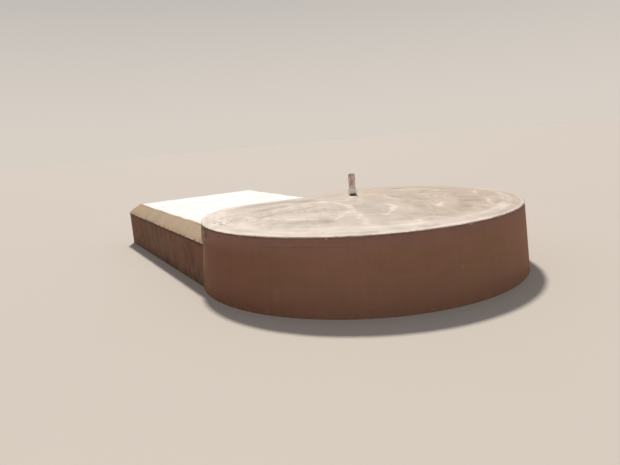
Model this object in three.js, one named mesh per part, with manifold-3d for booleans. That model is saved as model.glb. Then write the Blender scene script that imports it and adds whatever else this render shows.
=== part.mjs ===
// Small masonry biogas digester: a round rendered drum with a shallow domed top and a gas pipe,
// and a rectangular outlet chamber with a cover slab that butts against the drum.
import * as THREE from 'three';
import { mergeVertices } from 'three/addons/utils/BufferGeometryUtils.js';
import Module from 'manifold-3d';

const wasm = await Module();
wasm.setup();

// Sizes in millimetres, seen from the drum's axis: X along the chamber's far edge,
// Y from the drum to the chamber, Z up from the lowest ground
const gap = 0.3;                // clearance kept between pieces that touch
const drumTopRadius = 900;
const drumBaseRadius = 925;     // the wall leans in a little as it rises
const rimHeight = 358;
const crownRise = 55;           // the top is a shallow dome
const rimDip = 35;              // the rim falls to the chamber's slab where the two meet
const dipHalfAngle = 48;        // degrees each side of +Y over which it falls
const drumWall = 150;           // block and render together, at the top
const bearingHeight = 258;      // the roof slab's flat soffit sits on the blockwork here
const lipThickness = 16;        // render carried up past the slab's edge
const screedThickness = 25;
const wallPieces = 12;
const sides = 72;

const pipeX = 20;               // the gas pipe stands a little off the drum's axis
const pipeY = 75;
const pipeRadius = 20;
const pipeBore = 17;
const pipeAboveCrown = 122;
const pipeBelowSoffit = 20;
const collarFoot = 29;
const collarNeck = 22.5;
const collarHeight = 38;
const pipeSides = 24;

const slabLeft = -813;
const slabRight = 177;
const slabFar = 1980;
const chamberWall = 150;
const haunchOut = 83;           // the mortar haunch slopes out and down from the slab's edge
const haunchDrop = 75;
const slabTop = rimHeight - rimDip;
const chamberWallTop = slabTop - haunchDrop;

// The box's middle is the part's origin
const drumCentreY = (drumBaseRadius - slabFar - haunchOut) / 2;

const innerRadius = drumTopRadius - drumWall;
const lipRadius = drumTopRadius - lipThickness;
const holeRadius = pipeRadius + gap + 0.1;
const crownHeight = rimHeight + crownRise;

const render = new THREE.MeshStandardMaterial({ color: 0x7b6354, roughness: 0.92, metalness: 0 });
const screed = new THREE.MeshStandardMaterial({ color: 0xcbbcab, roughness: 0.85, metalness: 0 });
const concrete = new THREE.MeshStandardMaterial({ color: 0xa39b90, roughness: 0.95, metalness: 0 });
const cement = new THREE.MeshStandardMaterial({ color: 0xe9e4da, roughness: 0.85, metalness: 0 });
const mortar = new THREE.MeshStandardMaterial({ color: 0xad9c86, roughness: 0.9, metalness: 0 });
const pvc = new THREE.MeshStandardMaterial({ color: 0x9a8f88, roughness: 0.5, metalness: 0 });

// Closed solids for cutting, and meshes made from them
function toSolid(geometry) {
  const bare = geometry.clone();
  bare.deleteAttribute('normal');
  bare.deleteAttribute('uv');
  const merged = mergeVertices(bare, 1e-3);
  const vertProperties = new Float32Array(merged.attributes.position.array);
  const corners = merged.index.array;
  const kept = [];
  for (let i = 0; i < corners.length; i += 3) {
    const [a, b, c] = corners.slice(i, i + 3);
    const hasArea = a !== b && b !== c && c !== a;      // at a pole two corners are one
    if (hasArea) {
      kept.push(a, b, c);
    }
  }
  const triVerts = new Uint32Array(kept);
  return new wasm.Manifold(new wasm.Mesh({ numProp: 3, vertProperties, triVerts }));
}

function toGeometry(solid) {
  const { vertProperties, triVerts } = solid.getMesh();
  const geometry = new THREE.BufferGeometry();
  geometry.setAttribute('position', new THREE.BufferAttribute(vertProperties, 3));
  geometry.setIndex(new THREE.BufferAttribute(triVerts, 1));
  geometry.computeVertexNormals();
  return geometry;
}

const plant = new THREE.Group();
plant.position.y = drumCentreY;

function add(name, geometry, material) {
  const mesh = new THREE.Mesh(geometry, material);
  mesh.name = name;
  plant.add(mesh);
  return mesh;
}

// A block between two corners, and a prism standing on an outline
function block(low, high) {
  const size = high.map((value, i) => value - low[i]);
  const centre = high.map((value, i) => (value + low[i]) / 2);
  return new THREE.BoxGeometry(...size).translate(...centre);
}

function prism(outline, low, high) {
  const shape = new THREE.Shape(outline.map(([x, y]) => new THREE.Vector2(x, y)));
  const settings = { depth: high - low, bevelEnabled: false };
  return new THREE.ExtrudeGeometry(shape, settings).translate(0, 0, low);
}

// A body turned about Z from an outline of [radius, height] points, listed anticlockwise:
// a disc where the outline starts and ends on the axis, and otherwise a ring
function turned(outline, count) {
  const onAxis = outline[0][0] === 0;
  const closed = onAxis ? outline : [...outline, outline[0]];
  const points = closed.map(([r, z]) => new THREE.Vector2(r, z));
  return new THREE.LatheGeometry(points, count).rotateX(Math.PI / 2);
}

// The wall's outer face leans in along a straight line
function outerRadius(z) {
  return drumBaseRadius - (drumBaseRadius - drumTopRadius) * z / rimHeight;
}

function domeHeight(r) {
  return rimHeight + crownRise * (1 - (r / drumTopRadius) ** 2);
}

// How far the top falls at a plan point, most where the rim meets the chamber's slab
function fallAt(x, y) {
  const fromChamber = Math.abs(Math.atan2(x, y));
  const halfAngle = THREE.MathUtils.degToRad(dipHalfAngle);
  if (fromChamber > halfAngle) {
    return 0;
  }
  const lobe = Math.cos(fromChamber / halfAngle * Math.PI / 2) ** 2;
  return rimDip * lobe * Math.min(1, Math.hypot(x, y) / drumTopRadius);
}

// Lowers everything above the roof slab's soffit with the fall, and keeps the outer face on its lean
function letFall(geometry) {
  const points = geometry.attributes.position;
  for (let i = 0; i < points.count; i += 1) {
    const x = points.getX(i);
    const y = points.getY(i);
    const r = Math.hypot(x, y);
    const onTop = points.getZ(i) > domeHeight(r) - screedThickness - 1;
    if (onTop) {
      const z = points.getZ(i) - fallAt(x, y);
      const onFace = r > (lipRadius + drumTopRadius) / 2;
      const k = onFace ? outerRadius(z) / r : 1;
      points.setXYZ(i, x * k, y * k, z);
    }
  }
  return geometry;
}

// Drum wall: one rendered ring, cut into equal segments
const wallOutline = [
  [drumBaseRadius, 0],
  [drumTopRadius, rimHeight],
  [lipRadius, domeHeight(lipRadius)],
  [lipRadius, bearingHeight],
  [innerRadius, bearingHeight],
  [innerRadius, 0],
];
const wallRing = toSolid(letFall(turned(wallOutline, sides)));
const halfSegment = Math.PI / wallPieces;
for (let i = 0; i < wallPieces; i += 1) {
  const middle = 2 * halfSegment * i;
  const reach = 2 * drumBaseRadius;
  const apex = gap / 2 / Math.sin(halfSegment);
  const wedge = prism([
    [0, 0],
    [reach, -reach * Math.tan(halfSegment)],
    [reach, reach * Math.tan(halfSegment)],
  ], -1, crownHeight).translate(apex, 0, 0).rotateZ(middle);
  const name = `drum_wall_${String(i + 1).padStart(2, '0')}`;
  add(name, toGeometry(wallRing.intersect(toSolid(wedge))), render);
}

// Roof slab and the screed on it share their rings, so that the two lie face to face
const domeRings = [0, 150, 300, 450, 650, 800, lipRadius - gap];
const inward = [...domeRings].reverse();
const slabOutline = [
  [0, bearingHeight + gap],
  [lipRadius - gap, bearingHeight + gap],
  ...inward.map((r) => [r, domeHeight(r) - screedThickness - gap]),
];
const screedOutline = [
  ...domeRings.map((r) => [r, domeHeight(r) - screedThickness]),
  ...inward.map((r) => [r, domeHeight(r)]),
];
const roofSlab = toSolid(letFall(turned(slabOutline, sides)));
const screedDisc = toSolid(letFall(turned(screedOutline, sides)));
const pipeHole = toSolid(new THREE.CylinderGeometry(holeRadius, holeRadius, crownHeight, pipeSides)
  .rotateX(Math.PI / 2).translate(pipeX, pipeY, crownHeight));
add('drum_roof_slab', toGeometry(roofSlab.subtract(pipeHole)), concrete);
add('drum_screed', toGeometry(screedDisc.subtract(pipeHole)), screed);

// Gas pipe through the roof, and the mortar collar at its foot, shaped to the screed below it
const pipeFoot = bearingHeight - pipeBelowSoffit;
const pipeTop = crownHeight + pipeAboveCrown;
const pipe = turned([
  [pipeBore, pipeFoot],
  [pipeRadius, pipeFoot],
  [pipeRadius, pipeTop],
  [pipeBore, pipeTop],
], pipeSides);
add('gas_pipe', pipe.translate(pipeX, pipeY, 0), pvc);

const collarTop = crownHeight + collarHeight;
const collarRoot = crownHeight - screedThickness / 2;
const collar = turned([
  [pipeRadius + gap, collarRoot],
  [collarFoot, collarRoot],
  [collarFoot, crownHeight],
  [collarFoot - 2, crownHeight + collarHeight * 0.3],
  [collarNeck, collarTop],
  [pipeRadius + gap, collarTop],
], pipeSides).translate(pipeX, pipeY, 0);
const screedRaised = toSolid(letFall(turned(screedOutline, sides)).translate(0, 0, gap));
add('gas_pipe_collar', toGeometry(toSolid(collar).subtract(screedRaised)), mortar);

// Chamber: everything that reaches the drum is cut to its outer face
const cutTop = crownHeight;
const cutFoot = -10;
const drumCutter = toSolid(new THREE.CylinderGeometry(
  outerRadius(cutTop) + gap,
  outerRadius(cutFoot) + gap,
  cutTop - cutFoot,
  sides,
).rotateX(Math.PI / 2).translate(0, 0, (cutTop + cutFoot) / 2));

function againstDrum(geometry) {
  return toGeometry(toSolid(geometry).subtract(drumCutter));
}

const outerLeft = slabLeft - haunchOut;
const outerRight = slabRight + haunchOut;
const outerFar = slabFar + haunchOut;
const innerFar = outerFar - chamberWall;
const leftWall = block([outerLeft, 0, 0], [outerLeft + chamberWall, innerFar - gap, chamberWallTop]);
const rightWall = block([outerRight - chamberWall, 0, 0], [outerRight, innerFar - gap, chamberWallTop]);
const farWall = block([outerLeft, innerFar, 0], [outerRight, outerFar, chamberWallTop]);
add('chamber_wall_left', againstDrum(leftWall), render);
add('chamber_wall_right', againstDrum(rightWall), render);
add('chamber_wall_far', farWall, render);

const slabFoot = chamberWallTop + gap;
const slabBlock = block([slabLeft, 0, slabFoot], [slabRight, slabFar, slabTop]);
add('chamber_slab', againstDrum(slabBlock), cement);

// Haunch: a flared block less the slab, mitred at the two far corners
const flared = block([slabLeft - gap, 0, slabFoot], [slabRight + gap, slabFar + gap, slabTop]);
const corners = flared.attributes.position;
for (let i = 0; i < corners.count; i += 1) {
  if (corners.getZ(i) < slabTop - 1) {
    corners.setX(i, corners.getX(i) < (slabLeft + slabRight) / 2 ? outerLeft : outerRight);
    corners.setY(i, corners.getY(i) < 1 ? 0 : outerFar);
  }
}
const slabSeat = block(
  [slabLeft - gap, -1, slabFoot - 1],
  [slabRight + gap, slabFar + gap, slabTop + 1],
);
const haunch = toSolid(flared).subtract(toSolid(slabSeat)).subtract(drumCutter);
const mitreGap = gap / Math.SQRT2;
const beyond = 2 * haunchOut;
const haunchPlans = {
  left: [
    [slabLeft - beyond, 0],
    [slabLeft, 0],
    [slabLeft, slabFar - mitreGap],
    [slabLeft - beyond, slabFar + beyond - mitreGap],
  ],
  right: [
    [slabRight, 0],
    [slabRight + beyond, 0],
    [slabRight + beyond, slabFar + beyond - mitreGap],
    [slabRight, slabFar - mitreGap],
  ],
  far: [
    [slabLeft, slabFar + mitreGap],
    [slabRight, slabFar + mitreGap],
    [slabRight + beyond, slabFar + beyond + mitreGap],
    [slabLeft - beyond, slabFar + beyond + mitreGap],
  ],
};
for (const [side, plan] of Object.entries(haunchPlans)) {
  const region = toSolid(prism(plan, 0, rimHeight));
  add(`chamber_haunch_${side}`, toGeometry(haunch.intersect(region)), mortar);
}

const part = new THREE.Group();
part.add(plant);
export default part;
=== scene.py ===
import bpy
import math
import numpy as np
from mathutils import Matrix, Vector


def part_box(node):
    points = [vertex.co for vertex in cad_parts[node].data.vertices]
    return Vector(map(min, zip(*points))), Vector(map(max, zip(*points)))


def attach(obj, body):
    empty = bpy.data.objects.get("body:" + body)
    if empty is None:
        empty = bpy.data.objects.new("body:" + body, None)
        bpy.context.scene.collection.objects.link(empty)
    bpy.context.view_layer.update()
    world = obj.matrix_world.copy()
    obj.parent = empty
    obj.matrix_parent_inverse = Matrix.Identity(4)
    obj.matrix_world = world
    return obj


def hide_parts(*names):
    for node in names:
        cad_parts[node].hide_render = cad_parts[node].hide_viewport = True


# Dresses a small masonry biogas digester: a rendered drum with a screeded top and a gas pipe,
# and the outlet chamber beside it with its cover slab and sloping mortar haunches.

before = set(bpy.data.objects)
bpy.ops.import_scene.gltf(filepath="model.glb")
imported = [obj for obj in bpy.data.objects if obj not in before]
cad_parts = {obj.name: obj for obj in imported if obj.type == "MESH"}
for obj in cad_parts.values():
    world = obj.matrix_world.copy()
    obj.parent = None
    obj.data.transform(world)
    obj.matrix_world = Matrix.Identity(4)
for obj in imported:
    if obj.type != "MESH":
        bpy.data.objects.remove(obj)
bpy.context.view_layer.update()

# Sizes taken from the frame, in metres
drumWallNodes = sorted(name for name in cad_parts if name.startswith("drum_wall_"))
drumWallBoxes = [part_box(name) for name in drumWallNodes]
drumLow = Vector([min(low[i] for low, high in drumWallBoxes) for i in range(3)])
drumHigh = Vector([max(high[i] for low, high in drumWallBoxes) for i in range(3)])
drumX = (drumLow.x + drumHigh.x) / 2
drumY = (drumLow.y + drumHigh.y) / 2
footRadius = (drumHigh.x - drumLow.x) / 2
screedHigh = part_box("drum_screed")[1]
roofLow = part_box("drum_roof_slab")[0]
pipeLow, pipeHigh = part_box("gas_pipe")
collarLow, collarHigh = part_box("gas_pipe_collar")
slabLow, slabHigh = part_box("chamber_slab")
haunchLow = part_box("chamber_haunch_left")[0]
chamberWallLow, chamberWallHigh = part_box("chamber_wall_left")
pipeX = (pipeLow.x + pipeHigh.x) / 2
pipeY = (pipeLow.y + pipeHigh.y) / 2
pipeRadius = (pipeHigh.x - pipeLow.x) / 2

# The drum's outline, as the builder set it out
drum = {
    "topRadius": 0.900,
    "rimHeight": 0.358,
    "fall": 0.035,              # the rim falls to the chamber's slab on the side where they meet
    "fallHalfAngle": 48,
    "wall": 0.150,
    "lip": 0.016,
    "screed": 0.025,
}
topRadius = drum["topRadius"]
lipRadius = topRadius - drum["lip"]
crownRise = screedHigh.z - drum["rimHeight"]
batter = (footRadius - topRadius) / drum["rimHeight"]


# Node trees: a wire is a socket that Python can do sums with, a bench lays nodes in a tree
def operator(operation, reflected=False):
    def work(wire, other):
        first, second = (other, wire) if reflected else (wire, other)
        return wire.bench.maths(operation, first, second)
    return work


class Wire:
    def __init__(self, bench, socket):
        self.bench = bench
        self.socket = socket

    __add__ = operator("ADD")
    __radd__ = operator("ADD", True)
    __sub__ = operator("SUBTRACT")
    __rsub__ = operator("SUBTRACT", True)
    __mul__ = operator("MULTIPLY")
    __rmul__ = operator("MULTIPLY", True)
    __truediv__ = operator("DIVIDE")
    __rtruediv__ = operator("DIVIDE", True)
    __pow__ = operator("POWER")

    def out(self, name):
        return Wire(self.bench, self.bench.pick(self.socket.node.outputs, name))

    # noise taken about its middle, as so much more or less
    def sway(self, amount):
        return (self - 0.5) * amount


class Bench:
    def __init__(self, tree):
        self.tree = tree

    def pick(self, sockets, key):
        if isinstance(key, int):
            return sockets[key]
        named = [socket for socket in sockets if key in (socket.name, socket.identifier)]
        usable = [socket for socket in named if socket.enabled]
        return (usable or named)[0]

    def node(self, kind, settings=None, sockets=None):
        made = self.tree.nodes.new(kind)
        for name, value in (settings or {}).items():
            setattr(made, name, value)
        for key, value in (sockets or {}).items():
            socket = self.pick(made.inputs, key)
            if isinstance(value, Wire):
                self.tree.links.new(value.socket, socket)
            else:
                socket.default_value = value
        shown = [socket for socket in made.outputs if socket.enabled]
        return Wire(self, shown[0]) if shown else made

    # shorthands for the nodes that are used most
    def maths(self, operation, first, second=0.0):
        return self.node("ShaderNodeMath", {"operation": operation}, {0: first, 1: second})

    def largest(self, first, second):
        return self.maths("MAXIMUM", first, second)

    def size(self, value):
        return self.maths("ABSOLUTE", value)

    def stored(self, name):
        return self.node("GeometryNodeInputNamedAttribute", {"data_type": "FLOAT"}, {"Name": name})

    def noise(self, vector, scale, detail=2.0, roughness=0.5, distortion=0.0):
        sockets = {"Vector": vector, "Scale": scale, "Detail": detail, "Roughness": roughness,
                   "Distortion": distortion}
        return self.node("ShaderNodeTexNoise", {"noise_dimensions": "3D"}, sockets)

    def between(self, value, low, high, start=0.0, end=1.0):
        settings = {"interpolation_type": "SMOOTHSTEP"}
        sockets = {"Value": value, "From Min": low, "From Max": high, "To Min": start, "To Max": end}
        return self.node("ShaderNodeMapRange", settings, sockets)

    # falls from full at the low value to nothing at the high one
    def below(self, value, low, high, full=1.0):
        return self.between(value, low, high, full, 0.0)

    def mix(self, factor, first, second):
        first = first if isinstance(first, Wire) else (*first, 1)
        second = second if isinstance(second, Wire) else (*second, 1)
        sockets = {"Factor_Float": factor, "A_Color": first, "B_Color": second}
        return self.node("ShaderNodeMix", {"data_type": "RGBA"}, sockets).out("Result_Color")

    def stretch(self, vector, scale, offset=(0, 0, 0)):
        return self.node("ShaderNodeMapping", {}, {"Vector": vector, "Scale": scale, "Location": offset})

    def split(self, vector):
        axes = self.node("ShaderNodeSeparateXYZ", {}, {"Vector": vector})
        return [axes.out(name) for name in "XYZ"]

    def join(self, x, y, z):
        return self.node("ShaderNodeCombineXYZ", {}, {"X": x, "Y": y, "Z": z})


# Shader finishes
class Finish(Bench):
    def __init__(self, name, look):
        self.look = look
        self.material = bpy.data.materials.new(name)
        self.material.use_nodes = True
        super().__init__(self.material.node_tree)
        self.tree.nodes.clear()
        self.place = self.node("ShaderNodeTexCoord").out("Object")
        self.x, self.y, self.z = self.split(self.place)

    def attribute(self, name):
        return self.node("ShaderNodeAttribute", {"attribute_name": name}).out("Fac")

    # noise over the piece: even spots, or streaks drawn out along the axes
    def spots(self, scale, *rest):
        return self.noise(self.place, scale, *rest)

    def streaks(self, scales, *rest):
        return self.noise(self.stretch(self.place, scales), 1.0, *rest)

    # sand in the mix: fine speckle and the odd pinhole
    def sand(self):
        return self.spots(420, 2, 0.6)

    def cells(self, scale):
        return self.node("ShaderNodeTexVoronoi", {"feature": "F1"}, {"Vector": self.place, "Scale": scale})

    def pinholes(self, scale, share):
        chosen = self.between(self.spots(scale / 7, 1), 1 - share, 1 - share + 0.06)
        return self.below(self.cells(scale), 0.05, 0.22) * chosen

    # how far a place in plan is from a centre
    def distance(self, x, y):
        across = self.x - x
        along = self.y - y
        return self.maths("SQRT", across * across + along * along)

    # the ground goes from one colour to the other as a value rises
    def ground(self, value, low, high, first, second):
        self.colour = self.mix(self.between(value, low, high), self.look[first], self.look[second])

    # a coat covers the colour so far, where its mask is 1: a name in the look, or a colour
    def coat(self, mask, colour):
        self.colour = self.mix(mask, self.colour, self.look.get(colour, colour))

    # lighter or darker: a number round 1 multiplies the colour so far
    def shade(self, amount):
        grey = self.join(amount, amount, amount)
        sockets = {"Factor_Float": 1.0, "A_Color": self.colour, "B_Color": grey}
        settings = {"data_type": "RGBA", "blend_type": "MULTIPLY"}
        self.colour = self.node("ShaderNodeMix", settings, sockets).out("Result_Color")

    def surface(self, roughness, height, specular=0.25):
        sockets = {"Height": height, "Strength": 1.0, "Distance": self.look["bump"]}
        bump = self.node("ShaderNodeBump", {}, sockets)
        shader = self.node("ShaderNodeBsdfPrincipled", {}, {
            "Base Color": self.colour, "Roughness": roughness, "Normal": bump, "Specular IOR Level": specular,
        })
        self.node("ShaderNodeOutputMaterial", {}, {"Surface": shader})
        return self.material


# Arc length round the drum from the front, positive to the right, for marks on its wall
def roundTheDrum(f):
    return f.maths("ARCTAN2", f.x - drumX, drumY - f.y) * topRadius


# A soft-edged patch, 1 inside and 0 outside
def patch(f, first, firstMiddle, firstHalf, second, secondMiddle, secondHalf, soft):
    inFirst = f.below(f.size(first - firstMiddle), firstHalf, firstHalf + soft)
    inSecond = f.below(f.size(second - secondMiddle), secondHalf, secondHalf + soft)
    return inFirst * inSecond


# Noise drawn out into arcs about a centre in plan: so many marks to a radian, and to a metre outwards
def arcsAbout(f, x, y, perRadian, perMetre, detail=3.0):
    reach = f.distance(x, y)
    across = (f.x - x) / reach * perRadian
    along = (f.y - y) / reach * perRadian
    return f.noise(f.join(across, along, reach * perMetre), 1.0, detail, 0.6)


# 1 in a band as wide as the pipe, on its side away from the chamber, where its painted shadow lies
def nearSideOfPipe(f):
    towardsX, towardsY = 0.49, 0.87     # direction in plan, away from the near side
    across = (f.x - pipeX) * towardsY - (f.y - pipeY) * towardsX
    forward = (f.x - pipeX) * towardsX + (f.y - pipeY) * towardsY
    return f.below(f.size(across), 0.015, 0.021) * f.below(forward, -0.012, 0.0)


drumRenderLook = {
    "brown": (0.292, 0.146, 0.097),
    "olive": (0.282, 0.150, 0.090),
    "left": (0.224, 0.101, 0.063),
    "right": (0.312, 0.155, 0.088),
    "shoulder": (0.286, 0.152, 0.114),
    "flank": (0.252, 0.128, 0.066),
    "plainSide": (0.278, 0.170, 0.120),
    "creviceShade": (0.105, 0.058, 0.040),
    "paste": (0.560, 0.450, 0.340),
    "ochre": (0.420, 0.220, 0.110),
    "dust": (0.400, 0.180, 0.090),
    "lapHeight": 0.312,
    "flankArc": -1.43,          # the chamber's mortar is smeared round the drum as far as this
    "wiped": (-0.940, 0.095),   # arc and height of the smear that a float left
    "ochreMark": (-0.10, 0.173),
    "bump": 0.0012,
}


def makeDrumRender():
    f = Finish("earth_brown_render", drumRenderLook)
    arc = roundTheDrum(f)
    broad = f.streaks((3.2, 3.2, 5.5), 3, 0.55)
    f.ground(broad, 0.36, 0.66, "brown", "olive")
    f.coat(f.below(arc, -1.35, -0.55), "left")
    f.coat(f.between(arc, 0.15, 0.50) * 0.8, "right")
    f.coat(f.between(f.z, 0.25, 0.35), "shoulder")
    # round the back the colour is plainer; the redder brown at the front is painted warm bounce light
    back = f.largest(f.below(arc, -2.10, -1.66), f.between(arc, 0.75, 1.60))
    f.coat(back, "plainSide")
    # float marks run upright, and broad sweeps lie across them
    upright = f.streaks((26, 26, 2.6), 3, 0.6)
    sweeps = f.streaks((5, 5, 21), 4, 0.6, 0.6)
    scratches = f.between(f.streaks((150, 150, 5), 2, 0.6), 0.60, 0.74)
    tone = 1.0 + upright.sway(0.14) + sweeps.sway(0.18) - scratches * 0.06
    tone = tone + f.sand().sway(0.14) + f.spots(60, 3, 0.65).sway(0.12)
    # painted shade: a little darker towards the foot
    tone *= f.between(f.z, 0.0, 0.11, 0.96, 1.0)
    # the last lift of render overlaps the one below along a faint line
    wander = f.spots(7, 2).sway(0.012)
    lap = f.below(f.size(f.z - f.look["lapHeight"] + wander), 0.0008, 0.0036)
    lap *= patch(f, arc, -0.80, 0.16, f.z, f.look["lapHeight"], 0.02, 0.08)
    tone *= 1.0 - lap * 0.12
    # a curved smear low down, where a float was wiped
    wipedArc, wipedHeight = f.look["wiped"]
    bow = (f.z - wipedHeight) * (f.z - wipedHeight) * 9.0
    tone += patch(f, arc - bow, wipedArc, 0.004, f.z, wipedHeight, 0.020, 0.016) * 0.07
    # painted shade: the screed's edge overhangs, and the line under it is darkened
    underEdge = f.between(f.z, 0.343, 0.348) * f.between(arc, -1.05, -0.80, 1.0, 0.45)
    tone *= 1.0 - underEdge * 0.40
    f.shade(tone)
    markArc, markHeight = f.look["ochreMark"]
    f.coat(patch(f, arc, markArc, 0.003, f.z, markHeight, 0.002, 0.010) * 0.45, "ochre")
    # the screed's paste hangs over the edge in a few places
    hang = f.between(f.spots(22, 3, 0.6), 0.56, 0.72)
    drips = f.between(f.z + hang * 0.010, 0.3500, 0.3520) * f.between(hang, 0.05, 0.20)
    f.coat(drips * 0.4, "paste")
    # mortar from the chamber's corner, smeared on the outside
    crust = f.spots(34, 4, 0.7, 0.5)
    outside = f.between(f.distance(drumX, drumY), 0.86, 0.88) * f.between(arc, -1.98, -1.84)
    flank = f.below(arc + sweeps.sway(0.10), f.look["flankArc"] - 0.09, f.look["flankArc"])
    flank *= outside
    f.coat(flank * f.between(f.spots(16, 3), 0.25, 0.60) * 0.75, "flank")
    rough = flank * f.between(f.z, 0.24, 0.31)
    # painted shade in the crust's crevices
    f.coat(rough * f.between(crust, 0.49, 0.54) * 0.8, "creviceShade")
    f.coat(rough * f.below(crust, 0.40, 0.45, 0.7), "paste")
    # a paler upright strip beside the chamber's corner: partly mortar smeared on the render, partly painted
    # light
    smearAndSlabLight = f.below(arc + crust.sway(0.14), -1.61, -1.51, 0.30) * outside
    smearAndSlabLight = smearAndSlabLight * f.between(f.z, 0.07, 0.18) * f.between(f.z, 0.27, 0.33, 1.0, 0.3)
    f.coat(smearAndSlabLight, haunchLook["buff"])
    dust = f.below(f.z, 0.004, 0.055) * f.between(f.spots(26, 4, 0.65), 0.45, 0.68)
    f.coat(dust * 0.4, "dust")
    height = f.sand() * 0.45 + sweeps * 0.5 + upright * 0.25 - f.pinholes(90, 0.34) * 0.8 - lap * 0.5
    height = height + rough * crust * 3.0 - scratches * 0.2
    return f.surface(0.84 + broad.sway(0.12), height)


screedLook = {
    "palerTone": (0.672, 0.578, 0.500),
    "darkerTone": (0.568, 0.454, 0.362),
    "band": (0.790, 0.680, 0.590),
    "laitance": (0.830, 0.735, 0.640),
    "pipeShadow": (0.110, 0.070, 0.050),
    "edge": (0.130, 0.074, 0.052),
    "lime": (0.900, 0.825, 0.690),      # pale bloom round the pits
    "bandInner": 0.735,
    "bandOuter": 0.805,
    "brightRing": 0.822,
    "swingCentres": ((-0.55, -1.30), (0.95, -1.05), (-1.45, 0.30), (0.70, 1.20)),   # from the drum's axis
    "bump": 0.0040,
}


def makeScreed():
    f = Finish("trowelled_screed", screedLook)
    fromAxis = f.distance(drumX, drumY)
    across = (f.x - drumX) / topRadius
    cloud = f.spots(3.0, 3, 0.6, 0.8)
    # paler towards the left, darker and yellower towards the right
    f.ground(across + cloud.sway(1.2), -0.9, 0.75, "palerTone", "darkerTone")
    blotches = f.spots(6.5, 4, 0.52, 0.8)
    mottle = f.spots(70, 3, 0.65)
    tone = 0.98 + cloud.sway(0.16) + blotches.sway(0.50) + mottle.sway(0.12)
    tone += f.sand().sway(0.08)
    # each swing of the trowel leaves curved streaks about a centre of its own
    swings = 0.0
    scored = 0.0
    for i, (acrossDrum, alongDrum) in enumerate(f.look["swingCentres"]):
        x = drumX + acrossDrum
        y = drumY + alongDrum
        where = f.between(f.noise(f.stretch(f.place, (1, 1, 1), (3 * i, i, 0)), 3.4, 2), 0.46, 0.60)
        swings += (arcsAbout(f, x, y, 4, 22) - 0.5) * where
        scored += f.between(arcsAbout(f, x, y, 2.4, 80, 1), 0.66, 0.74) * where
    # the rim was rubbed round and round, and is paler towards the left
    band = f.between(fromAxis + blotches.sway(0.12), f.look["bandInner"], f.look["bandOuter"])
    f.coat(band * f.between(across, -0.8, 0.9, 0.9, 0.12), "band")
    swings *= 1.0 - band * 0.85
    scored *= 1.0 - band * 0.85
    tone = tone + swings * 0.55 - scored * 0.10
    rubbed = arcsAbout(f, drumX, drumY, 1.8, 20, 1) * 0.4 + arcsAbout(f, drumX, drumY, 2.2, 38, 3) * 0.6
    tone += (rubbed - 0.5) * band * 0.85
    ring = f.below(f.size(fromAxis - f.look["brightRing"] + cloud.sway(0.08)), 0.010, 0.034)
    ring *= f.between(f.spots(4, 2), 0.34, 0.54)
    arris = f.between(fromAxis, 0.874, 0.892)
    # paste along the trowel's edge
    ridge = f.attribute("ridge") * f.between(f.spots(20, 4, 0.7), 0.28, 0.56)
    hollow = f.attribute("hollow")
    pale = f.largest(f.largest(ridge * 0.70, ring * 0.50), arris * 0.50)
    f.coat(pale, "laitance")
    tone -= hollow * 0.18
    # pits: a pale bloom round them, and painted shade inside the pits and chips
    pitted = f.attribute("pitted")
    f.coat(pitted * 0.6, "lime")
    crumbs = f.spots(110, 3, 0.65).sway(0.60)
    chips = f.below(f.cells(30) + crumbs, 0.17, 0.24) * f.between(pitted, 0.20, 0.45)
    pits = f.pinholes(62, 0.36)
    tone = tone - chips * 0.75 - pits * 0.25
    f.shade(tone)
    # painted shadow of the pipe and its collar at the pipe's foot, on the side away from the chamber
    pipeShadowReach = f.distance(pipeX - 0.010, pipeY - 0.024) + crumbs * 0.012
    f.coat(f.below(pipeShadowReach, 0.030, 0.038, 0.95) * nearSideOfPipe(f), "pipeShadow")
    # down the edge the paste is thin and the render's brown shows, painted darker still as shade under the
    # rim
    f.coat(f.between(f.attribute("ragged"), 0.60, 0.84), "edge")
    height = blotches * 0.45 + mottle * 0.25 + swings * 0.6 + pale * 0.35 + rubbed * band * 0.5
    height = height + f.sand() * 0.10 - pits * 0.3 - chips * 0.8 - scored * 0.25
    return f.surface(0.80 - ridge * 0.08, height)


slabLook = {
    "white": (0.885, 0.895, 0.890),
    "cream": (0.870, 0.850, 0.790),
    "mark": (0.640, 0.660, 0.690),
    "bump": 0.0008,
}


def makeSlabCement():
    f = Finish("white_slab_cement", slabLook)
    broad = f.spots(4.5, 4, 0.6, 0.4)
    f.ground(broad, 0.44, 0.74, "white", "cream")
    brushed = f.streaks((6, 34, 20), 3, 0.6)
    f.shade(1.0 + brushed.sway(0.06) + f.sand().sway(0.05))
    # thin grey arcs left by the float, and the marks at the sides
    skim = f.between(arcsAbout(f, drumX - 1.5, drumY + 1.0, 3, 70, 1), 0.64, 0.74)
    skim *= f.between(f.spots(4, 2), 0.50, 0.62)
    f.coat(f.largest(f.attribute("mark") * 0.9, skim * 0.22), "mark")
    # the haunch's mortar was floated up over the slab's edge
    inward = f.attribute("inward")
    f.coat(f.below(inward, 0.012, 0.060, 0.8), "cream")
    reach = 0.013 + f.spots(7, 2).sway(0.045) + f.spots(40, 4, 0.65).sway(0.030)
    f.coat(f.below(inward - reach, -0.0015, 0.0025), haunchLook["buff"])
    pits = f.pinholes(55, 0.30)
    height = brushed * 0.5 + f.sand() * 0.3 - pits * 0.9 - skim * 0.6
    # painted shade in the pinholes
    f.shade(1.0 - pits * 0.20)
    return f.surface(0.80, height)


haunchLook = {
    "buff": (0.545, 0.398, 0.268),
    "grey": (0.468, 0.368, 0.262),
    "brown": (0.545, 0.365, 0.225),
    "rim": (0.620, 0.490, 0.350),
    "bump": 0.0014,
}


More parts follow.
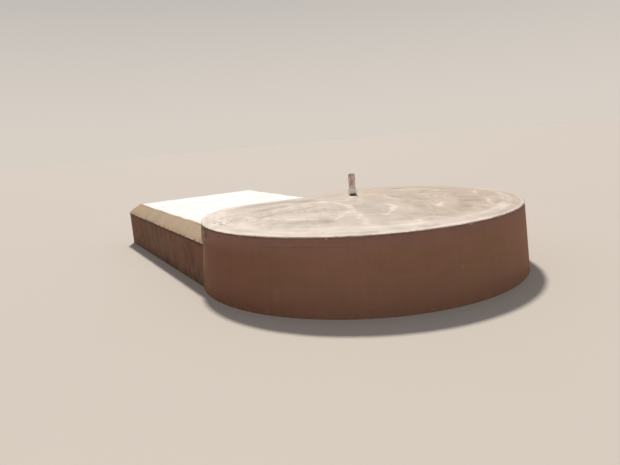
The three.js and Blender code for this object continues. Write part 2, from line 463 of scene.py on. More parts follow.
def makeHaunchMortar():
    f = Finish("haunch_mortar", haunchLook)
    broad = f.spots(5.0, 3, 0.6, 0.5)
    f.ground(broad, 0.36, 0.64, "buff", "grey")
    along = f.streaks((9, 9, 20), 4, 0.6, 0.5)
    grit = f.spots(60, 3, 0.6)
    f.shade(1.0 + along.sway(0.10) + grit.sway(0.10) + f.sand().sway(0.10))
    # slab cement that ran down a little near the drum, and the paler lower edge
    out = f.attribute("out")
    nearDrum = f.below(f.y, drumY + 0.42, drumY + 0.80)
    runs = f.between(f.streaks((30, 30, 9), 3, 0.6), 0.54, 0.72)
    runs = runs * f.below(out, 0.010, 0.045) * nearDrum
    f.coat(runs * 0.35, slabLook["cream"])
    nose = f.between(out, 0.070, 0.081) * f.between(f.spots(34, 3), 0.36, 0.58)
    f.coat(nose * 0.6, "rim")
    farEnd = f.between(f.y, slabHigh.y - 0.45, slabHigh.y)
    f.coat(farEnd * 0.6, "brown")
    # bits have broken off the lower edge, and the notches are painted dark as shade
    broken = f.between(f.spots(46, 4, 0.65) + (out - 0.078) * 14.0, 0.53, 0.60)
    f.coat(broken * 0.8, chamberRenderLook["dark"])
    height = along * 0.3 + grit * 0.5 + f.sand() * 0.3 - f.pinholes(80, 0.36) * 0.8
    return f.surface(0.86, height)


chamberRenderLook = {
    "brown": (0.204, 0.090, 0.053),
    "dark": (0.112, 0.052, 0.034),
    "grey": (0.192, 0.104, 0.066),
    "plainSide": (0.238, 0.152, 0.108),
    "dust": (0.300, 0.165, 0.105),
    "bump": 0.0026,
}


def makeChamberRender():
    f = Finish("rough_chamber_render", chamberRenderLook)
    broad = f.spots(4.5, 3, 0.6, 0.6)
    f.ground(broad, 0.40, 0.62, "brown", "grey")
    # the left side keeps a darker, redder colour that is painted shade and warm bounce light; the other sides
    # are paler
    palerTone = f.between(f.x, haunchLow.x + 0.03, haunchLow.x + 0.10)
    f.coat(palerTone, "plainSide")
    lumps = f.spots(21, 5, 0.7, 0.4)
    runs = f.between(f.streaks((15, 15, 5), 4, 0.65), 0.44, 0.68)
    f.coat(runs * (0.75 - palerTone * 0.45), "dark")
    grit = f.spots(95, 3, 0.65)
    tone = 1.04 + lumps.sway(0.60) + grit.sway(0.26)
    tone += f.sand().sway(0.18)
    # painted shade: darker at the foot, and in a band under the haunch's nose
    tone = tone * f.between(f.z, 0.0, 0.12, 0.90, 1.0) * f.between(f.z, 0.225, 0.245, 1.0, 0.72)
    f.shade(tone)
    dust = f.below(f.z, 0.02, 0.15) * f.between(f.spots(19, 4, 0.65), 0.42, 0.66)
    f.coat(dust * 0.40, "dust")
    height = lumps * 0.9 + grit * 0.35 + f.sand() * 0.25 - runs * 0.15
    height -= f.pinholes(70, 0.42) * 0.6
    return f.surface(0.88, height)


collarLook = {
    "mortar": (0.965, 0.920, 0.860),
    "darkerTone": (0.900, 0.840, 0.770),
    "bump": 0.0014,
}


def makeCollarMortar():
    f = Finish("collar_mortar", collarLook)
    broad = f.spots(40, 3, 0.6)
    f.ground(broad, 0.40, 0.66, "mortar", "darkerTone")
    f.shade(1.0 + f.sand().sway(0.22))
    # painted shadow low down on the side away from the chamber
    low = f.below(f.z + broad.sway(0.006), collarLow.z + 0.012, collarLow.z + 0.016, 0.9)
    f.coat(low * nearSideOfPipe(f), screedLook["pipeShadow"])
    height = broad * 0.6 + f.sand() * 0.5 - f.pinholes(170, 0.4) * 0.7
    return f.surface(0.88, height)


pipeLook = {
    "grey": (0.480, 0.352, 0.318),
    "fadedAndHighlit": (0.880, 0.690, 0.625),
    "plainSide": (0.530, 0.495, 0.470),  # the side away from the drum's front
    "cement": (0.800, 0.740, 0.680),
    "bump": 0.0002,
}


def makePipePlastic():
    f = Finish("weathered_pipe", pipeLook)
    weather = f.streaks((75, 75, 22), 3, 0.6)
    # pale weathered streaks, light enough to be partly painted highlights
    f.ground(weather, 0.38, 0.62, "grey", "fadedAndHighlit")
    # painted warm bounce light: the pipe is pinker, except on the side away from the drum's front, which
    # keeps a plainer grey
    f.coat(f.between(f.y - pipeY, 0.002, 0.016), "plainSide")
    scuffs = f.streaks((240, 240, 30), 2, 0.6)
    f.shade(1.0 + scuffs.sway(0.12))
    above = f.z - collarHigh.z
    wash = f.below(above + f.spots(70, 3).sway(0.05), 0.0, 0.022)
    splash = f.between(f.spots(150, 2), 0.66, 0.72) * f.below(above, 0.0, 0.07)
    cement = f.largest(wash, splash)
    f.coat(cement * 0.8, "cement")
    height = scuffs * 0.4 + cement * 1.5
    return f.surface(0.50 + cement * 0.35, height, 0.45)


roofLook = {
    "concrete": (0.420, 0.385, 0.340),
    "pale": (0.500, 0.465, 0.415),
    "board": 0.145,             # width of the shuttering boards
    "bump": 0.0020,
}


def makeBoardMarkedConcrete():
    f = Finish("board_marked_concrete", roofLook)
    boards = f.x / f.look["board"]
    number = f.maths("FLOOR", boards)
    within = f.maths("FRACT", boards)
    edgeGap = f.maths("PINGPONG", within, 0.5)
    seam = f.below(edgeGap, 0.010, 0.028)
    own = f.node("ShaderNodeTexWhiteNoise", {"noise_dimensions": "1D"}, {"W": number})
    grain = f.streaks((62, 3.4, 3.4), 4, 0.65, 0.5)
    cloud = f.spots(5, 4, 0.6)
    f.ground(cloud, 0.36, 0.66, "concrete", "pale")
    tone = 1.0 + own.sway(0.14) + grain.sway(0.24) - seam * 0.16 + f.sand().sway(0.12)
    pits = f.pinholes(60, 0.45)
    height = own * 0.5 + grain * 0.35 + seam * 0.5 - pits * 0.8
    # painted shade in the pinholes
    f.shade(tone - pits * 0.2)
    return f.surface(0.9, height)


# each under the name of the piece that it is for
finishes = {
    "drum_render": makeDrumRender(),
    "drum_screed_top": makeScreed(),
    "chamber_slab_top": makeSlabCement(),
    "chamber_haunch": makeHaunchMortar(),
    "chamber_render": makeChamberRender(),
    "gas_pipe_mortar": makeCollarMortar(),
    "gas_pipe_tube": makePipePlastic(),
    "drum_roof_slab": makeBoardMarkedConcrete(),
}
print("finishes:", len(finishes))


# Geometry Nodes: each tree has these measures as inputs, at these values unless a piece has its own
turned = {
    "sectors": 64,
    "axisX": drumX,
    "axisY": drumY,
    "rimRadius": topRadius,
    "rise": 0.0,
    "fall": 0.0,
    "fallHalfAngle": math.radians(drum["fallHalfAngle"]),
    "batter": batter,
    "leanX": 0.0,
    "leanY": 0.0,
}
handMade = {
    "waveDepth": 0.0,
    "waveSize": 0.05,
    "raggedDepth": 0.0,
    "raggedSize": 0.02,
    "uprightStretch": 1.0,
    "seed": 0.0,
}


def newTree(name, measures):
    tree = bpy.data.node_groups.new(name, "GeometryNodeTree")
    tree.is_modifier = True
    kinds = {int: "Int", float: "Float"}
    inputs = [("Geometry", "Geometry"), ("Finish", "Material")]
    inputs += [(label, kinds[type(value)]) for label, value in measures.items()]
    for label, kind in inputs:
        tree.interface.new_socket(label, in_out="INPUT", socket_type="NodeSocket" + kind)
    tree.interface.new_socket("Geometry", in_out="OUTPUT", socket_type="NodeSocketGeometry")
    bench = Bench(tree)
    return bench, bench.node("NodeGroupInput")


def endTree(bench, geometry, given):
    realised = bench.node("GeometryNodeRealizeInstances", {}, {"Geometry": geometry})
    sockets = {"Geometry": realised, "Material": given.out("Finish")}
    dressed = bench.node("GeometryNodeSetMaterial", {}, sockets)
    bench.node("NodeGroupOutput", {}, {"Geometry": dressed})
    return bench.tree


# Turns a section about an upright axis. The section is a closed chain of points in the XZ plane,
# anticlockwise with its axis on the left. Each point carries "share", how much of the rim's fall it
# takes, and "lean", how far its ring is pulled over towards the pipe.
def makeTurningTree():
    bench, given = newTree("turned about an axis", turned)
    maths = bench.maths
    section = given.out("Geometry")
    count = bench.node("GeometryNodeAttributeDomainSize", {"component": "MESH"}, {"Geometry": section})
    place = bench.node("GeometryNodeInputPosition")
    net = bench.node("GeometryNodeMeshGrid", {}, {
        "Size X": 1.0, "Size Y": 1.0, "Vertices X": given.out("sectors") + 1, "Vertices Y": count + 1,
    })
    spreadX, spreadY = bench.split(place)[:2]
    turn = (spreadX + 0.5) * (2 * math.pi)
    row = maths("MODULO", maths("ROUND", (spreadY + 0.5) * count), count)

    def fromSection(value, kind):
        sockets = {"Geometry": section, "Value": value, "Index": row}
        return bench.node("GeometryNodeSampleIndex", {"data_type": kind, "domain": "POINT"}, sockets)

    def named(name):
        return fromSection(bench.stored(name), "FLOAT")

    radius, height = bench.split(fromSection(place, "FLOAT_VECTOR"))[::2]
    lean = named("lean")
    planX = radius * maths("SINE", turn) + given.out("leanX") * lean
    planY = radius * maths("COSINE", turn) + given.out("leanY") * lean
    reach = maths("SQRT", planX * planX + planY * planY)
    inner = maths("MINIMUM", reach / given.out("rimRadius"), 1.0)
    rimSquare = given.out("rimRadius") * given.out("rimRadius")
    dome = given.out("rise") * (radius * radius - reach * reach) / rimSquare
    fromChamber = maths("ABSOLUTE", maths("ARCTAN2", planX, planY)) / given.out("fallHalfAngle")
    lobe = maths("COSINE", maths("MINIMUM", fromChamber, 1.0) * (math.pi / 2))
    fall = given.out("fall") * lobe * lobe * inner * named("share")
    grow = 1.0 + fall * given.out("batter") * inner ** 8.0 / maths("MAXIMUM", reach, 0.001)
    placedX = planX * grow + given.out("axisX")
    placedY = planY * grow + given.out("axisY")
    placed = bench.join(placedX, placedY, height + dome - fall)
    kept = net
    for name in ("showing", "ragged"):
        kept = bench.node("GeometryNodeStoreNamedAttribute", {"data_type": "FLOAT", "domain": "POINT"}, {
            "Geometry": kept, "Name": name, "Value": named(name),
        })
    formed = bench.node("GeometryNodeSetPosition", {}, {"Geometry": kept, "Position": placed})
    closed = bench.node("GeometryNodeMergeByDistance", {}, {"Geometry": formed, "Distance": 0.00002})
    outward = bench.node("GeometryNodeFlipFaces", {}, {"Mesh": closed})
    smooth = bench.node("GeometryNodeSetShadeSmooth", {}, {"Geometry": outward})
    return endTree(bench, smooth, given)


# Leaves the unevenness of hand work in a face: broad waves, and raggedness where it is asked for.
# Everything is taken off the face, so that the piece stays within its size.
def makeHandWorkTree():
    bench, given = newTree("worked by hand", handMade)

    def unevenness(size, stretch):
        sockets = {0: bench.node("GeometryNodeInputPosition"), 1: bench.join(1.0, 1.0, stretch)}
        vector = bench.node("ShaderNodeVectorMath", {"operation": "MULTIPLY"}, sockets)
        return bench.node("ShaderNodeTexNoise", {"noise_dimensions": "4D"}, {
            "Vector": vector, "W": given.out("seed"), "Scale": 1.0 / size, "Detail": 2.0,
        })

    waves = unevenness(given.out("waveSize"), given.out("uprightStretch")) * given.out("waveDepth")
    ragged = unevenness(given.out("raggedSize"), 1.0) * given.out("raggedDepth")
    depth = waves * bench.stored("showing") + ragged * bench.stored("ragged")
    offset = bench.node("ShaderNodeVectorMath", {"operation": "SCALE"}, {
        0: bench.node("GeometryNodeInputNormal"), "Scale": depth * -1.0,
    })
    shifted = bench.node("GeometryNodeSetPosition", {}, {"Geometry": given.out("Geometry"), "Offset": offset})
    return endTree(bench, shifted, given)


# Runs a tree on a piece and keeps the result as a plain mesh
def runTree(piece, tree, values):
    sockets = {item.name: item.identifier for item in tree.interface.items_tree
               if item.item_type == "SOCKET" and item.in_out == "INPUT"}
    modifier = piece.modifiers.new("tree", "NODES")
    modifier.node_group = tree
    for name, value in {**values, "Finish": finishes[piece.name]}.items():
        modifier[sockets[name]] = value
    graph = bpy.context.evaluated_depsgraph_get()
    mesh = bpy.data.meshes.new_from_object(piece.evaluated_get(graph), preserve_all_data_layers=True,
                                           depsgraph=graph)
    piece.modifiers.remove(modifier)
    piece.data = mesh
    return piece


def setAttributes(mesh, attributes):
    for name, values in attributes.items():
        layer = mesh.attributes.new(name, "FLOAT", "POINT")
        layer.data.foreach_set("value", np.asarray(values, np.float32))


def newObject(name, data):
    made = bpy.data.objects.new(name, data)
    bpy.context.scene.collection.objects.link(made)
    return made


def newPiece(name, points, faces, edges=(), attributes=None):
    mesh = bpy.data.meshes.new(name)
    mesh.from_pydata([tuple(p) for p in points], list(edges), list(faces))
    setAttributes(mesh, attributes or {})
    for polygon in mesh.polygons:
        polygon.use_smooth = True
    return newObject(name, mesh)


def spaced(start, end, steps):
    return [start + (end - start) * i / steps for i in range(steps + 1)]


# Fills a run between outline corners with points no further apart than the step.
# A corner is (radius or out, height, share, showing, ragged, step of the run that leads to it).
def paced(corners):
    points = []
    previous = corners[-1]
    for corner in corners:
        start = np.array(previous[:5])
        end = np.array(corner[:5])
        length = np.hypot(*(end - start)[:2])
        steps = max(1, math.ceil(length / corner[5] - 1e-6))
        points += spaced(start, end, steps)[1:]
        previous = corner
    return np.array(points)


turning = makeTurningTree()
handWork = makeHandWorkTree()


def turnSection(name, points, how, values, lean=0.0):
    count = len(points)
    edges = [(i, (i + 1) % count) for i in range(count)]
    chain = [(radius, 0, height) for radius, height in points[:, :2]]
    share, showing, ragged = points[:, 2:5].T
    attributes = {"share": share, "showing": showing, "ragged": ragged, "lean": np.zeros(count) + lean}
    piece = newPiece(name, chain, [], edges, attributes)
    return runTree(piece, turning, {**turned, "sectors": how["sectors"], **values})


def workByHand(piece, how):
    runTree(piece, handWork, {name: how.get(name, usual) for name, usual in handMade.items()})


def outerRadius(height):
    return footRadius - batter * height


def domeHeight(radius):
    return drum["rimHeight"] + crownRise * (1 - (radius / topRadius) ** 2)


# Drum wall
drumWall = {
    "sectors": 480,
    "row": 0.0065,
    "lifts": 12,                # the batter is laid out in this many
    "footArris": 0.003,
    "arris": 0.004,
    "shoulder": 0.020,          # the batter ends this far below the top
    "underSkin": 0.0055,        # the screed's thin edge lies over the wall's top
    "tuckedIn": 0.0022,
    "waveDepth": 0.0026,
    "waveSize": 0.20,
    "uprightStretch": 0.6,
    "raggedDepth": 0.0030,
    "raggedSize": 0.028,
    "seed": 3.0,
}


def makeDrumWall():
    top = drum["rimHeight"] - drumWall["underSkin"]
    face = outerRadius(top) - drumWall["tuckedIn"]
    arris = drumWall["arris"]
    foot = drumWall["footArris"]
    inner = topRadius - drum["wall"]
    corners = [
        (inner, 0.0, 0, 0.4, 0, 0.03),
        (footRadius - 0.001, 0.0, 0, 0, 0, 0.03),
        (footRadius, foot, 0, 1, 0, 0.003),
    ]
    for height in spaced(foot, top - drumWall["shoulder"], drumWall["lifts"])[1:]:
        corners.append((outerRadius(height), height, height / top, 1, 0, drumWall["row"]))
    corners += [
        (face + 0.0006, top - arris * 1.6, 1, 1, 0.5, 0.003),
        (face - arris * 0.3, top - arris * 0.4, 1, 0.5, 0.8, 0.003),
        (face - arris, top, 1, 0, 0.5, 0.003),
        (lipRadius, top, 1, 0, 0, 0.005),
        (lipRadius, roofLow.z, 0, 0, 0, 0.03),
        (inner, roofLow.z, 0, 0, 0, 0.03),
    ]
    piece = turnSection("drum_render", paced(corners), drumWall, {"fall": drum["fall"]})
    workByHand(piece, drumWall)
    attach(piece, "root")
    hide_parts(*drumWallNodes)


# Screed on the drum
screed = {
    "sectors": 560,
    "row": 0.0072,
    "underRows": 12,
    "skin": 0.0060,             # thickness where it runs out over the wall
    "overhang": 0.0008,
    "roundedEdge": 0.006,
    "roundPipe": 0.0004,        # clearance
    "fitAtLip": 0.001,          # clearance inside the wall's lip
    "waveDepth": 0.0030,
    "waveSize": 0.16,
    "raggedDepth": 0.0070,
    "raggedSize": 0.030,
    "seed": 11.0,
    "ridgeHeight": 0.0012,
    "hollowDepth": 0.0016,
    "wander": (0.035, 0.006),   # size and amount, in the strokes' lines
}

# Paste left by the trowel: routes in plan from the drum's axis, with a half width
ridges = [
    (((-0.25, 0.01), (-0.22, -0.15), (-0.24, -0.28), (-0.28, -0.37), (-0.32, -0.47), (-0.39, -0.63)), 0.022),
    (((-0.28, -0.37), (-0.38, -0.41), (-0.45, -0.46)), 0.018),
    (((0.00, 0.02), (-0.04, -0.01), (-0.13, -0.09)), 0.014),
    (((-0.29, 0.03), (-0.40, 0.03), (-0.54, 0.02)), 0.018),
    (((-0.64, -0.11), (-0.60, -0.23), (-0.51, -0.36)), 0.018),
    (((-0.69, 0.23), (-0.69, 0.08), (-0.67, -0.06)), 0.014),
    (((-0.07, -0.36), (-0.09, -0.46), (-0.15, -0.51), (-0.23, -0.56)), 0.020),
    (((0.09, -0.15), (0.05, -0.21), (0.06, -0.30)), 0.012),
    (((0.25, -0.21), (0.27, -0.30)), 0.014),
    (((0.07, -0.59), (0.15, -0.53)), 0.020),
    (((0.33, -0.69), (0.45, -0.56)), 0.018),
    (((0.55, -0.38), (0.67, -0.27)), 0.016),
    (((0.33, 0.10), (0.47, -0.08), (0.52, -0.20)), 0.012),
    (((0.10, 0.33), (0.28, 0.42), (0.47, 0.38)), 0.020),
    (((-0.38, 0.34), (-0.25, 0.46), (-0.06, 0.52)), 0.020),
]
hollows = [
    (((-0.64, -0.04), (-0.49, -0.08), (-0.32, -0.09)), 0.030),
    (((-0.65, -0.26), (-0.57, -0.38), (-0.48, -0.47)), 0.040),
    (((-0.49, 0.42), (-0.34, 0.28), (-0.25, 0.15)), 0.080),
    (((-0.56, 0.16), (-0.45, 0.12)), 0.060),
    (((0.19, -0.66), (0.27, -0.55), (0.36, -0.57)), 0.040),
    (((0.46, -0.61), (0.47, -0.65), (0.45, -0.70)), 0.026),
    (((0.10, -0.17), (0.13, -0.23)), 0.026),
    (((0.38, -0.44), (0.43, -0.50)), 0.045),
    (((-0.74, -0.49), (-0.72, -0.51)), 0.022),
    (((-0.50, -0.72), (-0.44, -0.75)), 0.022),
    (((-0.24, -0.83), (-0.17, -0.84)), 0.022),
    (((0.42, 0.16), (0.56, 0.05), (0.60, -0.10)), 0.060),
]
pitted = [(((-0.84, 0.07), (-0.79, 0.10)), 0.070)]


# How strongly each plan point lies on a stroke, from 1 on its line to 0 past its width
def strokeStrength(plan, route, halfWidth):
    best = np.inf
    for start, end in zip(route, route[1:]):
        a = np.array(start)
        b = np.array(end)
        along = np.clip(((plan - a) @ (b - a)) / ((b - a) @ (b - a)), 0, 1)
        best = np.minimum(best, np.hypot(*(plan - a - along[:, None] * (b - a)).T))
    return np.clip(1 - (best / halfWidth) ** 2, 0, 1)


# The strongest of some strokes at each plan point
def strokes(plan, routes):
    return np.max([strokeStrength(plan, route, halfWidth) for route, halfWidth in routes], axis=0)


# Slow wander in plan, so that a stroke's edge isn't ruled
def wander(plan, size, amount):
    x, y = (plan / size).T
    shiftX = np.sin(1.7 * y + 0.6 * x + 1.1) + 0.5 * np.sin(4.3 * y - 2.9 * x + 4.0)
    shiftY = np.sin(1.9 * x - 0.7 * y + 2.3) + 0.5 * np.sin(3.7 * x + 3.1 * y + 0.5)
    return plan + amount * np.stack([shiftX, shiftY], 1)


# A mesh's points, and where they lie in plan from the drum's axis, with the wander
def meshPoints(mesh, how):
    points = np.empty(len(mesh.vertices) * 3, np.float32)
    mesh.vertices.foreach_get("co", points)
    points = points.reshape(-1, 3)
    return points, wander(points[:, :2] - (drumX, drumY), *how["wander"])


def makeScreedPiece():
    hole = pipeRadius + screed["roundPipe"]
    rim = topRadius + screed["overhang"]
    skin = screed["skin"]
    inside = lipRadius - screed["fitAtLip"]
    corners = [
        (hole, domeHeight(hole) - 0.004, 1, 0, 0, 0.01),
        (hole + 0.001, domeHeight(hole), 1, 0, 0, 0.01),
    ]
    flat = rim - screed["roundedEdge"]
    rows = math.ceil((flat - hole) / screed["row"])
    for radius in spaced(hole + 0.001, flat, rows)[1:]:
        showing = min(1.0, (radius - hole) / 0.05)
        corners.append((radius, domeHeight(radius), 1, showing, 0, 1))
    edge = domeHeight(rim)
    corners += [
        (rim - 0.0016, edge - 0.0002, 1, 1, 0.60, 1),
        (rim - 0.0005, edge - 0.0009, 1, 0.6, 0.8, 1),
        (rim, edge - 0.0022, 1, 0.3, 1, 1),
        (rim - 0.0006, edge - skin + 0.0006, 1, 0.3, 1, 1),
        (rim - 0.0032, edge - skin - 0.0006, 1, 0, 0.4, 1),
        (inside, edge - skin - 0.004, 1, 0, 0, 0.01),
        (inside, domeHeight(lipRadius) - drum["screed"], 1, 0, 0, 0.02),
    ]
    for radius in spaced(inside, hole, screed["underRows"])[1:]:
        corners.append((radius, domeHeight(radius) - drum["screed"], 1, 0, 0, 1))
    points = paced(corners)[::-1]
    lean = np.clip((topRadius - points[:, 0]) / (topRadius - hole), 0, 1) ** 2
    piece = turnSection("drum_screed_top", points, screed, {
        "fall": drum["fall"], "rise": crownRise, "leanX": pipeX - drumX, "leanY": pipeY - drumY,
    }, lean)
    mesh = piece.data
    places, plan = meshPoints(mesh, screed)
    ridge = strokes(plan, ridges)
    hollow = strokes(plan, hollows)
    onTop = places[:, 2] > drum["rimHeight"] - drum["fall"] - 0.004
    places[:, 2] += onTop * (ridge * screed["ridgeHeight"] - hollow * screed["hollowDepth"])
    mesh.vertices.foreach_set("co", places.ravel())
    setAttributes(mesh, {"ridge": ridge, "hollow": hollow, "pitted": strokes(plan, pitted)})
    mesh.update()
    workByHand(piece, screed)
    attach(piece, "root")
    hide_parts("drum_screed")


makeDrumWall()
print("drum wall done")
makeScreedPiece()
print("screed done")


# Gas pipe and its collar
pipeAxis = {"axisX": pipeX, "axisY": pipeY}
pipe = {
    "sectors": 48,
    "wall": 0.003,
    "burr": 0.0006,
    "raggedDepth": 0.004,
    "seed": 21.0,
}


def makeGasPipe():
    bore = pipeRadius - pipe["wall"]
    top = pipeHigh.z
    soft = pipe["burr"]
    points = paced([
        (bore, pipeLow.z, 0, 0, 0, 0.02),
        (pipeRadius, pipeLow.z, 0, 0, 0, 0.003),
        (pipeRadius, top - soft, 0, 0, 0, 0.012),
        (pipeRadius - soft, top, 0, 0, 0.2, 0.01),
        (bore + soft, top, 0, 0, 0.2, 0.002),
        (bore, top - soft, 0, 0, 0, 0.01),
    ])
    piece = turnSection("gas_pipe_tube", points, pipe, pipeAxis)
    workByHand(piece, pipe)
    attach(piece, "root")
    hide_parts("gas_pipe")


collar = {
    "sectors": 64,
    "neck": 0.0022,             # how far it stands off the pipe at its top
    "bed": 0.006,               # how deep it starts in the screed
    "intoPipe": 0.001,
    # a rounded lump rather than a true cone: shares of its width and height
    "profile": ((1.00, 0.14), (0.99, 0.34), (0.94, 0.52), (0.84, 0.68), (0.68, 0.81), (0.46, 0.91),
                (0.20, 0.98)),
    "waveDepth": 0.0035,
    "waveSize": 0.022,
    "seed": 31.0,
}


def makeCollar():
    foot = (collarHigh.x - collarLow.x) / 2
    neck = pipeRadius + collar["neck"]
    inner = pipeRadius - collar["intoPipe"]
    base = domeHeight(math.hypot(pipeX - drumX, pipeY - drumY)) - collar["bed"]
    tall = collarHigh.z - base
    corners = [(inner, base, 0, 0, 0, 0.01), (foot, base, 0, 0, 0, 0.01)]
    for width, height in collar["profile"]:
        corners.append((neck + (foot - neck) * width, base + tall * height, 0, 1, 0, 0.003))
    corners += [(neck - 0.0004, base + tall, 0, 0.3, 0, 0.003), (inner, base + tall, 0, 0, 0, 0.003)]
    piece = turnSection("gas_pipe_mortar", paced(corners), collar, pipeAxis)
    workByHand(piece, collar)
    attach(piece, "root")
    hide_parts("gas_pipe_collar")


makeGasPipe()
makeCollar()
print("gas pipe done")

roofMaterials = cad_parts["drum_roof_slab"].data.materials
roofMaterials.clear()
roofMaterials.append(finishes["drum_roof_slab"])

# Chamber: slab, haunch and walls are set out round the slab's edge
chamber = {
    "step": 0.0085,
    "cornerRadius": 0.012,
    "cornerSteps": 5,
    "intoDrum": 0.003,          # pieces run on a little into the drum's render, so that no light shows
}
haunchOut = slabLow.x - haunchLow.x


def drumEdge(x, height):
    reach = outerRadius(height) - chamber["intoDrum"]
    return drumY + math.sqrt(reach ** 2 - (x - drumX) ** 2)


# Sweeps a closed section round the left, far and right sides. A section point is
# (out from the slab's edge, height, share, showing, ragged).
def aroundChamber(points):
    along = math.ceil((slabHigh.y - slabLow.y) / chamber["step"])
    across = math.ceil((slabHigh.x - slabLow.x) / chamber["step"])
    turns = spaced(0, math.pi / 2, chamber["cornerSteps"])[:-1]
    columns = []
    for out, height in points[:, :2]:
        left = slabLow.x - out
        right = slabHigh.x + out
        far = slabHigh.y + out
        bend = 0.001 + chamber["cornerRadius"] * min(1, max(0, out / haunchOut))
        start = drumEdge(left, height)
        end = drumEdge(right, height)
        column = [(left, y) for y in spaced(start, far - bend, along)[:-1]]
        for turn in turns:
            column.append((left + bend - bend * math.cos(turn), far - bend + bend * math.sin(turn)))
        column += [(x, far) for x in spaced(left + bend, right - bend, across)[:-1]]
        for turn in turns:
            column.append((right - bend + bend * math.sin(turn), far - bend + bend * math.cos(turn)))
        column += [(right, y) for y in spaced(far - bend, end, along)]
        columns.append([(x, y, height) for x, y in column])
    return np.array(columns)


# Closes a net of section points by stations into a solid, with a cap at each end. Where the section
# runs out and straight back below itself, as the slab's does, the cap is a ladder of small faces.
def solidFromNet(name, net, points, ladder=False):
    rows, stations = net.shape[:2]
    places = net.reshape(-1, 3)
    faces = []
    for row in range(rows):
        nextRow = (row + 1) % rows
        for station in range(stations - 1):
            a = row * stations + station
            b = nextRow * stations + station
            faces.append((a, b, b + 1, a + 1))
    rungs = [range(rows)]
    if ladder:
        rungs = [(i, i + 1, rows - 2 - i, rows - 1 - i) for i in range(rows // 2 - 1)]
    for rung in rungs:
        faces.append([row * stations for row in reversed(rung)])
        faces.append([row * stations + stations - 1 for row in rung])
    attributes = {
        "out": np.repeat(points[:, 0], stations),
        "showing": np.repeat(points[:, 3], stations),
        "ragged": np.repeat(points[:, 4], stations),
    }
    return newPiece(name, places, faces, (), attributes)


haunch = {
    "row": 0.006,
    "rows": 14,
    "tuck": 0.012,              # how far it reaches in under the slab's edge
    "nose": 0.009,              # thickness of its lower edge, which hangs just proud of the wall
    "swell": 0.0025,            # the float leaves the slope slightly full
    "waveDepth": 0.0035,
    "waveSize": 0.14,
    "raggedDepth": 0.0130,
    "raggedSize": 0.035,
    "seed": 41.0,
}


def makeHaunch():
    drop = slabHigh.z - slabLow.z
    tuck = haunch["tuck"]
    corners = [(-tuck, slabHigh.z - tuck, 0, 0, 0, 0.02), (-0.004, slabHigh.z - 0.0035, 0, 0.2, 0, 0.01)]
    for part in spaced(0, 1, haunch["rows"]):
        out = haunchOut * 0.985 * part
        height = slabHigh.z - 0.0015 - (drop - haunch["nose"]) * part
        height += haunch["swell"] * math.sin(math.pi * part)
        corners.append((out, height, 0, 1, 0.15 + 0.5 * max(0, part - 0.8) / 0.2, haunch["row"]))
    low = slabLow.z
    corners += [
        (haunchOut, low + haunch["nose"] * 0.45, 0, 0.6, 0.9, 0.004),
        (haunchOut * 0.985, low + 0.001, 0, 0.3, 1.0, 0.004),
        (haunchOut * 0.93, low - 0.001, 0, 0, 0.6, 0.005),
        (haunchOut * 0.80, low + 0.002, 0, 0, 0, 0.01),
        (-tuck, low + 0.002, 0, 0, 0, 0.03),
    ]
    points = paced(corners)[::-1]
    piece = solidFromNet("chamber_haunch", aroundChamber(points), points)
    workByHand(piece, haunch)
    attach(piece, "root")
    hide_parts("chamber_haunch_left", "chamber_haunch_far", "chamber_haunch_right")


chamberWall = {
    "row": 0.007,
    "setBack": 0.006,           # behind the haunch's nose
    "waveDepth": 0.0045,
    "waveSize": 0.11,
    "uprightStretch": 0.5,
    "raggedDepth": 0.0022,
    "raggedSize": 0.018,
    "seed": 51.0,
}


def makeChamberWall():
    thick = chamberWallHigh.x - chamberWallLow.x
    outer = haunchOut - chamberWall["setBack"]
    inner = haunchOut - thick
    top = chamberWallHigh.z + 0.001
    points = paced([
        (inner, 0.0, 0, 0.4, 0, 0.02),
        (outer - 0.002, 0.0, 0, 0, 0, 0.03),
        (outer, 0.003, 0, 1, 1, 0.004),
        (outer, top, 0, 1, 1, chamberWall["row"]),
        (inner, top, 0, 0, 0, 0.03),
    ])
    piece = solidFromNet("chamber_render", aroundChamber(points), points)
    workByHand(piece, chamberWall)
    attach(piece, "root")
    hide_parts("chamber_wall_left", "chamber_wall_far", "chamber_wall_right")


slab = {
    "step": 0.009,
    "arris": 0.004,
    "intoHaunch": 0.001,
    "offWalls": 0.002,
    "wander": (0.020, 0.003),   # size and amount, in the marks' outlines
    "waveDepth": 0.0022,
    "waveSize": 0.22,
    "seed": 61.0,
}

# Marks in the slab's cement: place in plan from the drum's axis, radius and depth
slabDents = [
    ((-0.600, 1.086), 0.020, 0.004),
    ((-0.632, 1.104), 0.012, 0.003),
    ((-0.738, 1.513), 0.018, 0.003),
    ((-0.120, 1.640), 0.016, 0.002),
]


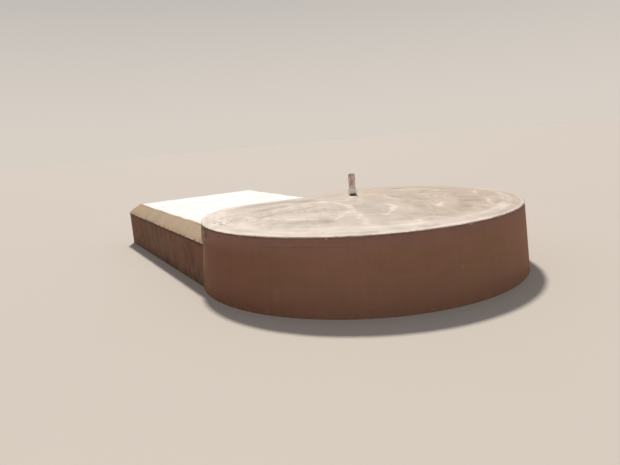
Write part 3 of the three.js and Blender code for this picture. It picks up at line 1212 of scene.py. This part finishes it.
def makeSlab():
    arris = slab["arris"]
    top = slabHigh.z
    left = slabLow.x - slab["intoHaunch"]
    right = slabHigh.x + slab["intoHaunch"]
    far = slabHigh.y + slab["intoHaunch"]
    underside = slabLow.z + slab["offWalls"]
    upper = [(left, top - arris, 1), (left + arris * 0.3, top - arris * 0.3, 1)]
    across = math.ceil((right - left) / slab["step"])
    upper += [(x, top, 1) for x in spaced(left + arris, right - arris, across)]
    upper += [(right - arris * 0.3, top - arris * 0.3, 1), (right, top - arris, 1)]
    # the underside has a point below each one above, so that this end follows the drum all the way down
    section = upper + [(x, underside, 0) for x, height, shown in reversed(upper)]
    stations = math.ceil((far - slabLow.y) / slab["step"])
    columns = []
    for x, height, shown in section:
        column = [(x, y, height) for y in spaced(drumEdge(x, height), far, stations)[:-1]]
        # the far edge is rounded like the sides
        column[-1] = (x, far - arris, height)
        column.append((x, far, min(height, top - arris)))
        columns.append(column)
    net = np.array(columns)
    points = np.array([(x - left, height, 0, shown, 0) for x, height, shown in section])
    piece = solidFromNet("chamber_slab_top", net, points, True)
    mesh = piece.data
    places, plan = meshPoints(mesh, slab)
    mark = np.zeros(len(plan))
    onTop = places[:, 2] > underside + arris
    for centre, radius, depth in slabDents:
        strength = np.clip(1 - np.hypot(*(plan - centre).T) / radius, 0, 1) * onTop
        mark = np.maximum(mark, strength)
        places[:, 2] -= strength * depth
    mesh.vertices.foreach_set("co", places.ravel())
    inward = np.minimum(np.minimum(places[:, 0] - left, right - places[:, 0]), far - places[:, 1])
    setAttributes(mesh, {"mark": np.clip(mark * 2, 0, 1), "inward": inward * onTop})
    mesh.update()
    workByHand(piece, slab)
    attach(piece, "root")
    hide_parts("chamber_slab")


makeHaunch()
makeChamberWall()
makeSlab()
print("chamber done")


# Floor, light and camera
studio = {
    "floor": (0.60, 0.54, 0.475),
    "floorSize": 40,
    "bump": 0.0001,
    "sunTowards": (0.1007, 0.2071, 0.358),
    "sunStrength": 3.1,
    "sunAngle": 0.09,
    "sunColour": (1.0, 0.965, 0.91),
    "skyLow": (0.92, 0.84, 0.75),
    "skyHigh": (0.36, 0.38, 0.42),
    "skyStrength": 0.75,
}


def makeFloor():
    f = Finish("studio_floor", studio)
    soft = f.spots(0.8, 2)
    f.colour = (*studio["floor"], 1)
    f.shade(0.985 + soft * 0.03)
    size = studio["floorSize"]
    corners = [(-size, -size, 0), (size, -size, 0), (size, size, 0), (-size, size, 0)]
    piece = newPiece("floor", corners, [(0, 1, 2, 3)])
    piece.data.materials.append(f.surface(0.85, f.spots(60, 2), 0.2))


def makeLight():
    sun = newObject("key", bpy.data.lights.new("key", "SUN"))
    sun.data.energy = studio["sunStrength"]
    sun.data.angle = studio["sunAngle"]
    sun.data.color = studio["sunColour"]
    sun.rotation_mode = "QUATERNION"
    sun.rotation_quaternion = Vector(studio["sunTowards"]).to_track_quat("Z", "Y")
    world = bpy.data.worlds.new("studio")
    world.use_nodes = True
    world.node_tree.nodes.clear()
    bench = Bench(world.node_tree)
    around = bench.node("ShaderNodeTexCoord").out("Generated")
    up = bench.split(around)[2]
    colour = bench.mix(bench.between(up, 0.0, 0.6), studio["skyLow"], studio["skyHigh"])
    background = bench.node("ShaderNodeBackground", {}, {"Color": colour, "Strength": studio["skyStrength"]})
    bench.node("ShaderNodeOutputWorld", {}, {"Surface": background})
    bpy.context.scene.world = world


view = {
    "fromDrum": (-1.742, -2.504),
    "height": 0.785,
    "heading": 29.387,          # degrees to the right of +Y
    "down": 10.579,
    "roll": 4.514,
    "lens": 30.60,
    "sensor": 36,
}


def makeCamera():
    camera = newObject("camera", bpy.data.cameras.new("camera"))
    camera.data.lens = view["lens"]
    camera.data.sensor_width = view["sensor"]
    turn = Matrix.Rotation(-math.radians(view["heading"]), 4, "Z")
    turn = turn @ Matrix.Rotation(math.radians(90 - view["down"]), 4, "X")
    turn = turn @ Matrix.Rotation(-math.radians(view["roll"]), 4, "Z")
    stand = Vector((drumX + view["fromDrum"][0], drumY + view["fromDrum"][1], view["height"]))
    camera.matrix_world = Matrix.Translation(stand) @ turn
    bpy.context.scene.camera = camera
    bpy.context.scene.view_settings.view_transform = "Standard"


makeFloor()
makeLight()
makeCamera()
print("studio done")
